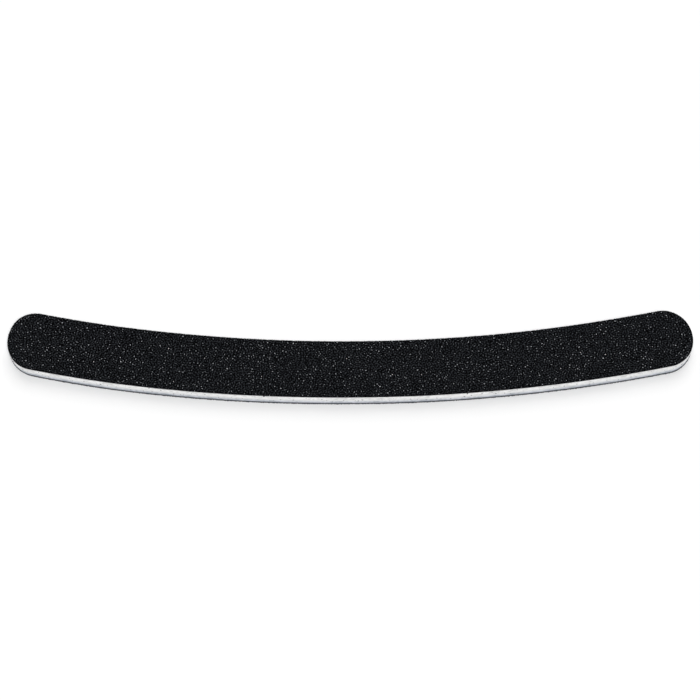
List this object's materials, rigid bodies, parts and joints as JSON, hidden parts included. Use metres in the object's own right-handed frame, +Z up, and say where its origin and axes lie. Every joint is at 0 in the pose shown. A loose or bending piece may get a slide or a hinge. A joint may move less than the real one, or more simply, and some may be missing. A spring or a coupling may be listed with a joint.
{
  "type": "cushioned emery board",
  "caption": "Slim curved nail file with rounded ends: black abrasive on both faces, bonded to a white foam body.",
  "frame": {"origin": "centre of the footprint's bounding box, on the surface that the lower abrasive face lies on", "axes": "+X along the board from tip to tip; +Y towards the hollow edge, the side that both tips lean to; +Z up, out of the upper abrasive face"},
  "size_m": [0.178, 0.0248, 0.004],
  "materials": {
    "abrasive_grain": "coarse glittering grain",
    "bond_resin": "satin resin",
    "backing_paper": "matt cut paper edge",
    "clear_adhesive": "clear, tacky",
    "white_foam": "matt closed-cell foam, knife-cut edge",
    "white_core": "matt cut plastic edge"
  },
  "bodies": {
    "root": {"upper_grit": "abrasive_grain", "upper_bond_coat": "bond_resin", "upper_backing": "backing_paper", "upper_adhesive": "clear_adhesive", "upper_foam": "white_foam", "upper_core_glue": "clear_adhesive", "core_strip": "white_core", "lower_core_glue": "clear_adhesive", "lower_foam": "white_foam", "lower_adhesive": "clear_adhesive", "lower_backing": "backing_paper", "lower_bond_coat": "bond_resin", "lower_grit": "abrasive_grain"}
  },
  "joints": []
}
